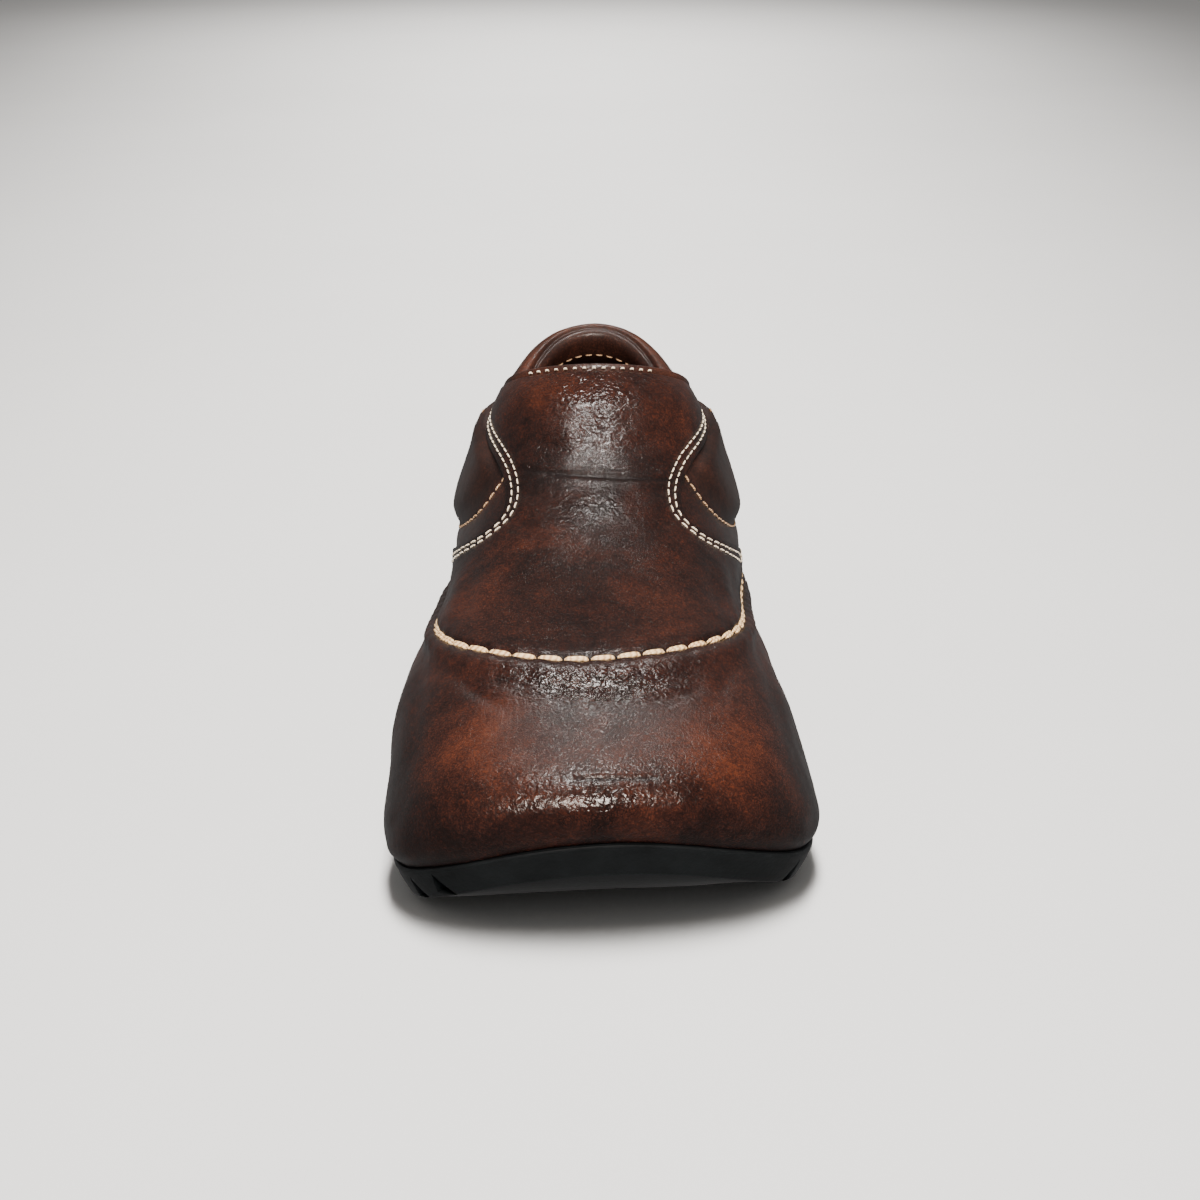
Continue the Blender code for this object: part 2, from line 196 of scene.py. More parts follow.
# %% Camera
VIEW_TARGET = Vector((-0.7 * MM, 84 * MM, 55 * MM)) + Vector(SHIFT)
VIEW_DISTANCE, VIEW_UP, VIEW_TURN = 638 * MM, math.radians(17.7), math.radians(-0.9)
towards = Vector((math.sin(VIEW_TURN) * math.cos(VIEW_UP), -math.cos(VIEW_TURN) * math.cos(VIEW_UP),
                  math.sin(VIEW_UP)))
bpy.ops.object.camera_add(location=VIEW_TARGET + towards * VIEW_DISTANCE,
                          rotation=towards.to_track_quat("Z", "Y").to_euler())
camera = bpy.context.object
camera.name = "view_camera"
camera.data.lens, camera.data.sensor_width = 76.6, 36
camera.data.clip_start, camera.data.clip_end = 0.01, 50
bpy.context.scene.camera = camera
print("camera at", [round(c, 3) for c in camera.location])

# %% [markdown]
# ## Leather
#
# The leather is waxed and antiqued: dark brown, rubbed through to red-brown where it is full, almost
# black in the seams. A picture would be one way to paint it. Here noise does it, in Object coordinates,
# so that it runs on from panel to panel. A vertex attribute named tone lets us place the light and dark
# patches one by one, and a second one, gather, says where the leather is drawn together and lumpy. The grain
# has three sizes: soft pebbles, fine creases between them and tiny pores. The wax is a thin clear coat: it
# takes the same bump as the leather below it, so a lamp breaks up into small glints.

# %% Node helpers
class Finish:
    """A node material, with short ways to add and link its nodes."""

    def __init__(self, name):
        self.material = bpy.data.materials.new(name)
        self.material.use_nodes = True
        self.nodes = self.material.node_tree.nodes
        self.link = self.material.node_tree.links.new
        self.inputs = self.nodes["Principled BSDF"].inputs

    def add(self, kind, **settings):
        """A node; each setting is a socket's value or a property."""
        made = self.nodes.new("ShaderNode" + kind)
        for key, value in settings.items():
            if key in made.inputs:
                made.inputs[key].default_value = value
            else:
                setattr(made, key, value)
        return made

    def cloud(self, output="Fac", **settings):
        """A noise texture on Object coordinates."""
        made = self.add("TexNoise", **settings)
        self.link(self.add("TexCoord").outputs["Object"], made.inputs["Vector"])
        return made.outputs[output]

    def attribute(self, name):
        return self.add("Attribute", attribute_name=name).outputs["Fac"]

    def maths(self, operation, first, second=0.0):
        """A Math node; each side is a socket or a number."""
        made = self.add("Math", operation=operation)
        for socket, value in zip(made.inputs, (first, second)):
            if isinstance(value, (int, float)):
                socket.default_value = value
            else:
                self.link(value, socket)
        return made.outputs[0]

    def blend(self, *parts, base=0.0):
        """A weighted sum; each part is a socket and its weight."""
        for socket, weight in parts:
            base = self.maths("ADD", base, self.maths("MULTIPLY", socket, weight))
        return base

    def paint(self, source, stops):
        """Base colour from a ramp with those stops."""
        made = self.add("ValToRGB")
        ramp = made.color_ramp
        while len(ramp.elements) < len(stops):
            ramp.elements.new(0.5)
        for element, (place, colour) in zip(ramp.elements, stops):
            element.position, element.color = place, (*colour, 1)
        self.link(source, made.inputs["Fac"])
        self.link(made.outputs["Color"], self.inputs["Base Color"])

    def bump(self, height, strength, distance, *sockets):
        made = self.add("Bump", Strength=strength, Distance=distance)
        self.link(height, made.inputs["Height"])
        for socket in sockets:
            self.link(made.outputs["Normal"], self.inputs[socket])


# %% Waxed leather
def leather_grain(finish):
    """Height of the fine grain: pebbles, creases and pores."""
    warp = finish.cloud("Color", Scale=420, Detail=3, Roughness=0.6)
    shifted = finish.add("VectorMath", operation="MULTIPLY_ADD")
    finish.link(warp, shifted.inputs[0])
    shifted.inputs[1].default_value = (0.0022, 0.0022, 0.0022)
    finish.link(finish.add("TexCoord").outputs["Object"], shifted.inputs[2])
    cells = finish.add("TexVoronoi", feature="DISTANCE_TO_EDGE", Scale=1050)
    finish.link(shifted.outputs["Vector"], cells.inputs["Vector"])
    pebble = finish.maths("MINIMUM", cells.outputs["Distance"], 0.22)
    wrinkle = finish.cloud(Scale=760, Detail=3, Roughness=0.6, Distortion=1.6)
    crease = finish.maths("ABSOLUTE", finish.maths("SUBTRACT", wrinkle, 0.5))
    crease = finish.maths("MINIMUM", finish.maths("MULTIPLY", crease, 5), 0.6)
    pores = finish.cloud(Scale=1900, Detail=2)
    return finish.blend((pebble, 0.45), (crease, 0.30), (pores, 0.10))


def leather(name, stops, roughness, wax, grain):
    """Antiqued leather. Its colour comes from clouds, specks, the painted tone and the grain."""
    finish = Finish(name)
    height = leather_grain(finish)
    tone, gather = finish.attribute("tone"), finish.attribute("gather")
    cloud = finish.cloud(Scale=34, Detail=6, Roughness=0.66, Distortion=0.7)
    speck = finish.cloud(Scale=240, Detail=5, Roughness=0.65)
    mixed = finish.blend((cloud, 0.78), (speck, 0.22), (tone, 0.22), (height, 1.1), base=-0.275)
    finish.paint(mixed, stops)
    # gathered leather is glossier, and lumps of a millimetre or two take the place of the fine grain
    shine = finish.blend((speck, 0.22), (gather, -0.22), base=roughness - 0.11)
    finish.link(shine, finish.inputs["Roughness"])
    crinkle = finish.cloud(Scale=620, Detail=1, Roughness=0.45, Distortion=0.9)
    stretched = finish.blend((gather, -0.28), base=0.36)
    drawn = finish.blend((gather, 0.98), base=0.07)
    relief = finish.blend((height, stretched), (crinkle, drawn))
    finish.bump(relief, grain, 0.0004, "Normal", "Coat Normal")
    finish.inputs["Specular IOR Level"].default_value = 0.10
    finish.inputs["Coat Weight"].default_value = wax
    finish.inputs["Coat Roughness"].default_value = 0.11
    return finish.material


brown_leather = leather("waxed_brown_leather", (
    (0.26, (0.0046, 0.0020, 0.0017)), (0.42, (0.0135, 0.0043, 0.0029)), (0.55, (0.028, 0.0080, 0.0046)),
    (0.70, (0.055, 0.0145, 0.0064)), (0.95, (0.092, 0.0250, 0.0100))), 0.44, 0.25, 1.0)
collar_leather = leather("soft_collar_leather", (
    (0.25, (0.0070, 0.0036, 0.0031)), (0.5, (0.0200, 0.0082, 0.0060)), (0.75, (0.055, 0.0185, 0.0110)),
    (0.95, (0.105, 0.0360, 0.0200))), 0.50, 0.15, 0.5)
print("leathers:", brown_leather.name, collar_leather.name)

# %% [markdown]
# The other finishes are plainer. Lining, rubber, cloth and the floor are two close colours with a fine bump,
# so one function makes them all. Thread is twisted: a wave texture along each stitch's own UV map draws its
# turns, as modelled strands would cost many more triangles.

# %% Lining, rubber and thread
def plain_finish(name, dark, light, roughness, size, bump_size, bump_strength, bump_height, specular=0.25):
    """A finish of two close colours with a fine bump."""
    finish = Finish(name)
    finish.inputs["Roughness"].default_value = roughness
    finish.inputs["Specular IOR Level"].default_value = specular
    finish.paint(finish.cloud(Scale=size, Detail=4, Roughness=0.6), ((0.3, dark), (0.7, light)))
    finish.bump(finish.cloud(Scale=bump_size, Detail=4), bump_strength, bump_height, "Normal")
    return finish.material


lining = plain_finish("dark_lining", (0.014, 0.008, 0.006), (0.034, 0.018, 0.013),
                      0.72, 90, 1300, 0.4, 0.0004)
rubber = plain_finish("moulded_rubber", (0.0032, 0.0041, 0.0046), (0.0065, 0.0080, 0.0090),
                      0.46, 60, 900, 0.25, 0.0003, specular=0.12)
insole_cloth = plain_finish("insole_cloth", (0.050, 0.027, 0.018), (0.095, 0.052, 0.036),
                            0.8, 120, 1500, 0.5, 0.0004)


def thread(name, dark, light, turns_per_stitch):
    """Waxed twisted thread: slanted stripes along each stitch's own UV map."""
    finish = Finish(name)
    finish.inputs["Roughness"].default_value = 0.5
    finish.inputs["Coat Weight"].default_value = 0.15
    mapping = finish.add("Mapping", Scale=(1, turns_per_stitch, 1))
    finish.link(finish.add("UVMap", uv_map="stitch").outputs["UV"], mapping.inputs["Vector"])
    ply = finish.add("TexWave", bands_direction="DIAGONAL", Scale=0.7, Distortion=1.2, Detail=2)
    finish.link(mapping.outputs["Vector"], ply.inputs["Vector"])
    soil = finish.cloud(Scale=260, Detail=3)
    finish.paint(finish.blend((ply.outputs["Fac"], 0.55), (soil, 0.55)), ((0.2, dark), (0.62, light)))
    finish.bump(ply.outputs["Fac"], 0.5, 0.0003, "Normal")
    return finish.material


cream_thread = thread("cream_hand_thread", (0.38, 0.20, 0.075), (0.88, 0.64, 0.35), 5)
white_thread = thread("white_machine_thread", (0.58, 0.44, 0.29), (0.94, 0.86, 0.71), 4)
# the tan thread is darkened beyond its own colour to stand for the shade it lies in: partly painted shade
tan_thread = thread("tan_thread", (0.18, 0.09, 0.04), (0.47, 0.31, 0.18), 4)
print("finishes:", [m.name for m in (lining, rubber, insole_cloth, cream_thread, white_thread, tan_thread)])

# %% [markdown]
# ## Pulling a panel over the last
#
# A shoemaker cuts a panel flat and pulls it over the last. We do the same: a flat grid is added, every
# corner of it is moved to its place on the last, and Solidify gives it the thickness of the leather. The
# creases are troughs and ridges along lines that we draw on the last, so each can be moved by hand.

# %% Helpers for panels
def corners(piece):
    flat = np.empty(len(piece.data.vertices) * 3)
    piece.data.vertices.foreach_get("co", flat)
    return flat.reshape(-1, 3)


def move_corners(piece, points):
    piece.data.vertices.foreach_set("co", points.ravel())
    piece.data.update()


def lasted_grid(name, columns, rows, place):
    """A flat grid pulled to place(u, w), with u running round the foot and w upwards, both 0 to 1."""
    bpy.ops.mesh.primitive_grid_add(x_subdivisions=columns, y_subdivisions=rows, size=1)
    piece = bpy.context.object
    piece.name = piece.data.name = name
    flat = corners(piece) + 0.5
    move_corners(piece, place(flat[:, 0], flat[:, 1]))
    return piece


def activate(piece):
    bpy.ops.object.select_all(action="DESELECT")
    piece.select_set(True)
    bpy.context.view_layer.objects.active = piece


def apply_modifier(piece, kind, **settings):
    activate(piece)
    made = piece.modifiers.new(kind.lower(), kind)
    for key, value in settings.items():
        setattr(made, key, value)
    bpy.ops.object.modifier_apply(modifier=made.name)


def mend(piece, merge=0.0, close_holes=False, turn_out=False):
    """Merges corners closer than that distance, closes holes and turns the faces outward, as asked."""
    activate(piece)
    bpy.ops.object.mode_set(mode="EDIT")
    bpy.ops.mesh.select_all(action="SELECT")
    if merge > 0:
        bpy.ops.mesh.remove_doubles(threshold=merge)
        bpy.ops.mesh.select_all(action="SELECT")
    if close_holes:
        bpy.ops.mesh.fill_holes(sides=0)
        bpy.ops.mesh.select_all(action="SELECT")
    if turn_out:
        bpy.ops.mesh.normals_make_consistent(inside=False)
    bpy.ops.object.mode_set(mode="OBJECT")


# %% Helpers for relief
def lumps(points, size, seed):
    """Gentle unevenness of about one unit, with bumps of that size."""
    return np.array([noise.noise(Vector(p) / size + Vector((seed, 2.7 * seed, -seed))) for p in points])


def uneven(points, table):
    """Lumps of several sizes. Each row: height and size in mm, seed."""
    return sum(height * MM * lumps(points, size * MM, seed) for height, size, seed in table)


def run_along(path):
    """Length of a path up to each of its points."""
    return np.concatenate([[0], np.cumsum(np.linalg.norm(np.diff(path, axis=0), axis=1))])


def near(points, path):
    """Distance to the nearest point of a path, and how far along the path that is, 0 to 1."""
    gap = np.full(len(points), 1e9)
    along = np.zeros(len(points))
    for i, spot in enumerate(path):
        far = ((points - spot) ** 2).sum(-1)
        closer = far < gap
        gap[closer] = far[closer]
        along[closer] = i / (len(path) - 1)
    return np.sqrt(gap), along


def beside(points, path, reach, power=1):
    """1 on a path, falling off with the distance; reach in mm."""
    return np.exp(-(near(points, path)[0] / (reach * MM)) ** power)


def from_toe(angle):
    """Angle measured from the toe, positive on the medial side."""
    return np.asarray(angle) % (2 * math.pi) - math.pi


# %% Creases
SHARP_FOLD = 1.4


def fold_path(row):
    start, start_level, end, end_level = row[:4]
    t = np.linspace(0, 1, 120)
    return skin(math.pi + np.radians(start + (end - start) * t), start_level + (end_level - start_level) * t)


def fold_fade(along):
    return np.sin(math.pi * np.clip(along, 0.02, 0.98)) ** 0.6


def folds(points, table):
    """Soft creases. Each row: start (degrees from the toe, level), end (the same), depth and width in mm."""
    total = np.zeros(len(points))
    for row in table:
        depth, width = row[4:]
        gap, along = near(points, fold_path(row))
        gap = gap / (width * MM)
        trough = -np.exp(-gap ** 2) + 0.3 * np.exp(-((gap - 2.2) / 1.1) ** 2)
        total += fold_fade(along) * depth * MM * trough
    return total


def fold_shade(piece, points, table):
    """Painted shade: a dark tone in the bottom of the creases that are narrower than SHARP_FOLD, in mm."""
    total = np.zeros(len(points))
    for row in table:
        if row[5] < SHARP_FOLD:
            path = np.array([piece.closest_point_on_mesh(Vector(spot))[1] for spot in fold_path(row)])
            gap, along = near(points, path)
            total -= fold_fade(along) * np.exp(-(gap / (0.55 * MM)) ** 2)
    return total


# %% [markdown]
# Patches of colour: rubbed places are lighter and redder, burnished places darker. The dark patches along the
# vamp's flex crease are painted shade. Each row names a place on the last, how far it reaches and how strong
# it is. They are stored on the vertices as the attribute tone, which the leather reads.

# %% Tone of the leather
# degrees from the toe (medial positive), level, reach in mm, strength
# the three dark rows at levels 5.0 to 5.05 are painted shade along the vamp's flex crease
PATCHES = (
    (16, 2.2, 17, 0.95), (-16, 2.0, 19, 1.1), (0, 1.75, 16, 0.6), (30, 2.0, 14, 0.4), (-34, 1.9, 12, 0.45),
    (11, 3.55, 11, 0.4), (28, 3.6, 12, 0.35), (-26, 3.5, 12, 0.3), (-12, 3.75, 10, 0.1),
    (15, 6.15, 9, 0.7), (-18, 6.3, 9, 0.15), (0, 4.5, 12, -0.25), (0, 2.75, 14, -0.35),
    (45, 1.2, 16, -0.6), (-45, 1.2, 16, -0.6), (0, 0.6, 30, -0.75), (24, 0.7, 24, -0.55),
    (-24, 0.7, 24, -0.55), (45, 4.3, 14, -0.4), (-45, 4.3, 14, -0.4), (0, 5.0, 9, -0.35),
    (20, 5.05, 9, -0.45), (-20, 5.05, 9, -0.45), (110, 3.0, 24, 0.4), (-110, 2.6, 26, 0.4),
    (150, 2.4, 22, 0.3), (-155, 2.8, 22, 0.3),
)
# where the leather is gathered and crinkled, in the same columns
CRINKLED = (
    (0, 2.72, 9, 0.9), (9, 2.74, 9, 0.8), (-9, 2.72, 9, 0.8), (18, 2.76, 8, 0.5), (-18, 2.74, 8, 0.4),
    (0, 1.55, 11, 0.9), (9, 1.6, 10, 0.6), (-10, 1.6, 10, 0.6), (0, 6.7, 9, 0.8), (16, 6.65, 9, 0.7),
    (-16, 6.65, 9, 0.6), (6, 6.1, 7, 0.5), (-5, 6.1, 7, 0.5), (5, 5.5, 7, 0.5), (-5, 5.5, 7, 0.5),
    (6, 4.7, 7, 0.5), (-5, 4.7, 7, 0.5), (0, 3.5, 8, 0.4),
)


def spots(points, table):
    total = np.zeros(len(points))
    for degrees, level, reach, strength in table:
        spot = skin(math.pi + math.radians(degrees), level)
        total += strength * np.exp(-((points - spot) ** 2).sum(-1) / (reach * MM) ** 2)
    return total


def paint_tone(piece, extra):
    """Stores the tone, with an extra part that is a function of the corners, and the crinkles."""
    points = corners(piece)
    tone = np.clip(spots(points, PATCHES) + extra(points), -1.2, 1.2)
    gather = np.clip(spots(points, CRINKLED), 0, 1)
    for name, values in (("tone", tone), ("gather", gather)):
        layer = piece.data.attributes.new(name, "FLOAT", "POINT")
        layer.data.foreach_set("value", values)


def finish_piece(piece, slot, *materials):
    """Gives a piece its finishes, if they aren't on it yet, smooth shading and its body; slot is not used."""
    for made in materials:
        piece.data.materials.append(made)
    activate(piece)
    bpy.ops.object.shade_smooth_by_angle(angle=math.radians(50))
    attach(piece, "root")
    piece.data.calc_loop_triangles()
    print(piece.name, len(piece.data.loop_triangles), "triangles")


# %% [markdown]
# ## The cross seam
#
# The toe piece and the vamp are sewn together by hand over the toe with thick waxed thread. The stitches
# are about 6.4 mm long. They pull the leather in, so a small pucker belongs to every stitch: the run of
# the seam is measured first, and leather and thread both use it.

# %% Run of the cross seam
HAND_STITCH = 6.4 * MM
seam_turn = np.linspace(-1, 1, 601) * (math.pi - front_edge(SEAM))
seam_line = skin(math.pi + seam_turn, SEAM)
seam_run = run_along(seam_line)
seam_run -= seam_run[len(seam_run) // 2]
print("cross seam is", round((seam_run[-1] - seam_run[0]) / MM), "mm long")


def seam_pull(angle, points, depth, pucker):
    """The valley at the cross seam and the puckers beside it."""
    angle = np.asarray(angle)
    away = np.linalg.norm(points - skin(angle, SEAM), axis=-1)
    run = np.interp(from_toe(angle), seam_turn, seam_run)
    wave = np.cos(2 * math.pi * run / HAND_STITCH)
    return (-depth * MM * np.exp(-(away / (1.7 * MM)) ** 2)
            + pucker * MM * wave * np.exp(-away / (5 * MM)) * (1 - np.exp(-away / (1.2 * MM))))


# %% [markdown]
# ## The toe piece
#
# One piece of leather wraps the toe from the sole's edge to the cross seam. It is full and round below
# the seam, where the hand stitches gather it.

# %% Toe piece
TOE_FOLDS = (
    (4.5, 1.90, -7, 1.88, 0.45, 0.75), (14, 2.75, -6, 2.68, 0.35, 1.6), (-4, 2.55, -22, 2.6, 0.4, 1.8),
    (30, 2.7, 16, 2.5, 0.45, 1.8), (-30, 2.72, -20, 2.45, 0.4, 1.8), (50, 2.6, 38, 1.9, 0.3, 2.6),
    (-52, 2.6, -40, 1.9, 0.3, 2.6), (64, 2.4, 56, 1.2, 0.35, 3.0), (-64, 2.4, -57, 1.3, 0.35, 3.0),
    (44, 0.75, 34, 0.95, 0.4, 2.2), (-40, 0.8, -30, 0.95, 0.4, 2.2),
)
LEATHER = 1.3 * MM
TOE_LUMPS = ((0.5, 24, 3.1), (0.16, 8, 5.3), (0.05, 3, 8.8))
# gaps in levels: at the sole's edge and on each side of the cross seam
SOLE_GAP, SEAM_GAP = 0.03, 0.014
EDGE_CROWDING = 1.28


def front_angle(u, level):
    """Angle of a place across the front. u is 0 at the medial edge and 1 at the lateral one, and the
    columns lie closer together at the edges."""
    across = np.sin((2 * u - 1) * EDGE_CROWDING) / math.sin(EDGE_CROWDING)
    return math.pi - across * (math.pi - front_edge(level))


def edge_dip(rim, depth):
    """The side edges are pressed down; rim is 0 on an edge and 1 in the middle."""
    return depth * MM * np.exp(-rim / 0.006)


def toe_place(u, w):
    level = SOLE_GAP + (SEAM - SEAM_GAP - SOLE_GAP) * (1 - (1 - w) ** 1.25)
    angle = front_angle(u, level)
    ground = skin(angle, level)
    away = np.linalg.norm(ground - skin(angle, SEAM), axis=-1)
    rim = 1 - np.abs(2 * u - 1)
    relief = 1.6 * MM * hill(away, 6.5 * MM, 5 * MM) * ease(0, 0.3, rim)
    relief += seam_pull(angle, ground, 1.3, 0.32) * ease(0, 0.08, rim) + folds(ground, TOE_FOLDS)
    relief += uneven(ground, TOE_LUMPS) - edge_dip(rim, 0.5)
    return skin(angle, level, relief)


toe_leather = lasted_grid("toe_leather", 250, 185, toe_place)
apply_modifier(toe_leather, "SOLIDIFY", thickness=LEATHER, offset=-1)
# painted shade in the sharp toe crease, and a darker band along the cross seam
paint_tone(toe_leather, lambda p: fold_shade(toe_leather, p, TOE_FOLDS)
           - 0.9 * beside(p, seam_line[::6], 2.2))
finish_piece(toe_leather, "brown_leather", brown_leather)
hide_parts("toe_piece")

# %% [markdown]
# ## The vamp
#
# The vamp runs from the cross seam over the instep up to the throat, and its upper end is the tongue. Its
# sides are cut in to a waist and lie on top of the quarters. The foot has bent it, so one thin crease
# crosses it above the waist, and the tongue swells over the crease.

# %% Vamp edges
def side_edge(side, inset, low_level, high_level, count):
    """A line on the last at that inset from the vamp's side edge; side is +1 lateral, -1 medial."""
    level = np.linspace(low_level, high_level, count)
    edge = skin(side * front_edge(level), level)
    along = np.gradient(edge, axis=0)
    along /= np.linalg.norm(along, axis=1, keepdims=True)
    normal = last_frame(side * front_edge(level), level)[0]
    inward = np.cross(normal, along) * side
    return edge + inward * inset


VAMP_FOLDS = (
    (26, 5.09, -30, 4.93, 0.35, 0.8), (27, 4.86, 8, 4.78, 0.2, 1.7), (-28, 4.86, -9, 4.8, 0.2, 1.7),
    (26, 4.62, 10, 4.35, 0.2, 2.2), (-28, 4.62, -12, 4.38, 0.2, 2.2), (1.5, 4.6, 1, 3.3, 0.5, 3.0),
    (8, 4.1, 20, 3.75, 0.15, 2.6), (-9, 4.0, -22, 3.7, 0.15, 2.6), (36, 4.0, 30, 3.35, 0.5, 2.4),
    (-38, 3.95, -32, 3.35, 0.5, 2.4), (52, 3.75, 42, 3.25, 0.5, 2.4), (-54, 3.7, -44, 3.25, 0.5, 2.4),
    (20, 5.45, 6, 5.3, 0.15, 2.2), (-22, 5.5, -8, 5.3, 0.15, 2.2), (1, 6.4, 1, 5.1, 0.35, 3.0),
)
VAMP_LUMPS = ((0.45, 22, 1.7), (0.15, 7, 4.4), (0.05, 3, 9.9))
VAMP_TOP = TOPLINE + 0.05
ROW_INSETS = (1.9 * MM, 3.9 * MM)
vamp_rows = [side_edge(side, inset, 3.05, 6.85, 280) for side in (1, -1) for inset in ROW_INSETS]
vamp_rows = [row[near(row, seam_line[::3])[0] > 2.6 * MM] for row in vamp_rows]


def vamp_place(u, w):
    level = SEAM + SEAM_GAP + (VAMP_TOP - SEAM - SEAM_GAP) * w
    angle = front_angle(u, level)
    ground = skin(angle, level)
    relief = seam_pull(angle, ground, 1.2, 0.25) + folds(ground, VAMP_FOLDS)
    relief += 1.0 * MM * hill(level, 5.75, 0.75) * hill(from_toe(angle), 0, 0.62)
    relief += uneven(ground, VAMP_LUMPS)
    for row in vamp_rows:
        relief -= 0.28 * MM * beside(ground, row[::2], 0.8, 2)
    relief -= edge_dip(1 - np.abs(2 * u - 1), 0.45)
    relief -= 1.2 * MM * ease(TOPLINE - 0.06, VAMP_TOP, level)
    return skin(angle, level, relief)


vamp_leather = lasted_grid("vamp_leather", 190, 200, vamp_place)
apply_modifier(vamp_leather, "SOLIDIFY", thickness=LEATHER, offset=-1)
vamp_edges = np.concatenate([side_edge(side, 0, 3.05, 6.95, 120) for side in (1, -1)])
# painted shade in the flex crease, and darker bands along the cross seam and the vamp's side edges
paint_tone(vamp_leather, lambda p: fold_shade(vamp_leather, p, VAMP_FOLDS)
           - 0.8 * beside(p, seam_line[::6], 2.2) - 0.5 * beside(p, vamp_edges, 2.5))
finish_piece(vamp_leather, "brown_leather", brown_leather)
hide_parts("vamp")

# %% [markdown]
# ## The quarters
#
# The quarters close the back of the shoe and run under the vamp and toe piece. They are one hollow wall
# with a plain seam up the heel, and the wall steps in where the padded collar comes out from behind it.
# Solidify gives the inside faces their own finish, the lining.

# %% Foot of the collar
SIDE_CLEAR = math.radians(2.2)


def collar_foot(share):
    """Level of the collar's lower edge along its run, -1 to 1."""
    share = np.abs(share)
    return 4.15 + 0.98 * np.clip((share - 0.62) / 0.38, 0, 1.1) ** 1.6 + 0.45 * (1 - ease(0.0, 0.3, share))


foot_share = np.linspace(-1, 1, 401)
foot_level = collar_foot(foot_share)
foot_angle = foot_share * (front_edge(foot_level) - SIDE_CLEAR)
print("collar's foot runs over", round(math.degrees(foot_angle[-1] * 2)), "degrees")

# %% Quarters and lining
QUARTER_FOLDS = (
    (92, 3.9, 108, 2.6, 0.6, 3.5), (-92, 3.9, -108, 2.6, 0.6, 3.5), (100, 1.6, 128, 1.2, 0.4, 3.5),
    (-100, 1.6, -128, 1.2, 0.4, 3.5),
)
QUARTER_LUMPS = ((0.35, 26, 6.1), (0.1, 8, 2.2))
# thickness of the wall, and the share of the grid's height at which it steps in behind the collar
WALL, STEP_AT = 1.6 * MM, 0.7


def quarter_place(u, w):
    angle = -2 * math.pi * u
    turn = (angle + math.pi) % (2 * math.pi) - math.pi
    foot = np.interp(turn, foot_angle, foot_level)
    above = foot + (TOPLINE - foot) * (w - STEP_AT) / (1 - STEP_AT)
    level = np.where(w < STEP_AT, foot * w / STEP_AT, above)
    ground = skin(angle, level)
    covered = ease(-0.02, 0.10, np.abs(turn) - front_edge(level))
    step = ease(STEP_AT - 0.008, STEP_AT + 0.008, w)
    relief = folds(ground, QUARTER_FOLDS) + uneven(ground, QUARTER_LUMPS)
    relief -= 0.5 * MM * hill(turn, 0, 0.022) * (1 - step)
    offset = -0.9 * MM - 1.1 * MM * step
    offset = np.where(w < STEP_AT, offset - 0.6 * MM * ease(0.66, STEP_AT, w), offset)
    return skin(angle, level, (offset + relief) * (1 - covered) - 2.0 * MM * covered)


quarter_leather = lasted_grid("quarter_leather", 320, 90, quarter_place)
mend(quarter_leather, merge=0.02 * MM)
quarter_leather.data.materials.append(brown_leather)
quarter_leather.data.materials.append(lining)
apply_modifier(quarter_leather, "SOLIDIFY", thickness=WALL, offset=-1, material_offset=1)
foot_line = skin(foot_angle, foot_level)
# painted shade: darker along the collar's foot, in the recess under the collar's swell
paint_tone(quarter_leather, lambda p: -0.6 * beside(p, foot_line[::4], 2.5))
finish_piece(quarter_leather, "brown_leather")
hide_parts("upper")

# %% [markdown]
# ## The padded collar
#
# The collar is soft leather over foam. It comes out from behind the quarters' edge, swells, rolls over the
# top line and ends at a stitched line inside. Its front ends are drawn thin and tucked under the vamp. We
# draw one section as a closed loop of knots, and a smooth closed curve through them is swept round the
# foot. Cloth simulation could swell it too, but the section gives the two rolls and the crease between
# them exactly where they belong.

# %% Padded collar
# leg: share of the way from the foot to the top line, or None for a fixed level; level; offset; lift, in mm
COLLAR_SECTION = (
    (-0.03, None, -1.6, 0.0), (0.05, None, -0.2, 0.0), (0.16, None, 2.0, 0.0), (0.40, None, 3.0, 0.0),
    (0.66, None, 2.7, 0.0), (0.88, None, 2.1, 0.0), (None, 7.0, 1.5, 1.2), (None, 7.0, 0.4, 3.1),
    (None, 7.0, -1.2, 3.9), (None, 7.0, -2.5, 3.2), (None, 7.0, -3.6, 3.7), (None, 7.0, -5.2, 2.9),
    (None, 6.95, -6.3, 1.0), (None, 6.6, -6.5, 0.0), (None, 6.25, -6.0, 0.0), (None, 5.95, -4.9, 0.0),
    (None, 5.8, -4.0, 0.0), (None, 6.4, -4.0, 0.0), (None, 7.0, -3.9, 0.9), (None, 7.0, -1.6, 1.0),
    (0.85, None, -1.6, 0.0), (0.45, None, -1.7, 0.0), (0.1, None, -1.8, 0.0),
)
# offset in mm to which the outside is drawn in where the front ends are tucked under the vamp
TUCKED = -1.7


def closed_curve_weights(count, places):
    """Weights of the knots in a smooth closed curve, for places from 0 to 1."""
    t = (np.asarray(places) % 1.0) * count
    k = np.floor(t).astype(int)
    t = t - k
    shape = np.stack([-t ** 3 + 2 * t ** 2 - t, 3 * t ** 3 - 5 * t ** 2 + 2,
                      -3 * t ** 3 + 4 * t ** 2 + t, t ** 3 - t ** 2]) / 2
    weights = np.zeros((len(t), count))
    for step in range(4):
        np.add.at(weights, (np.arange(len(t)), (k + step - 1) % count), shape[step])
    return weights


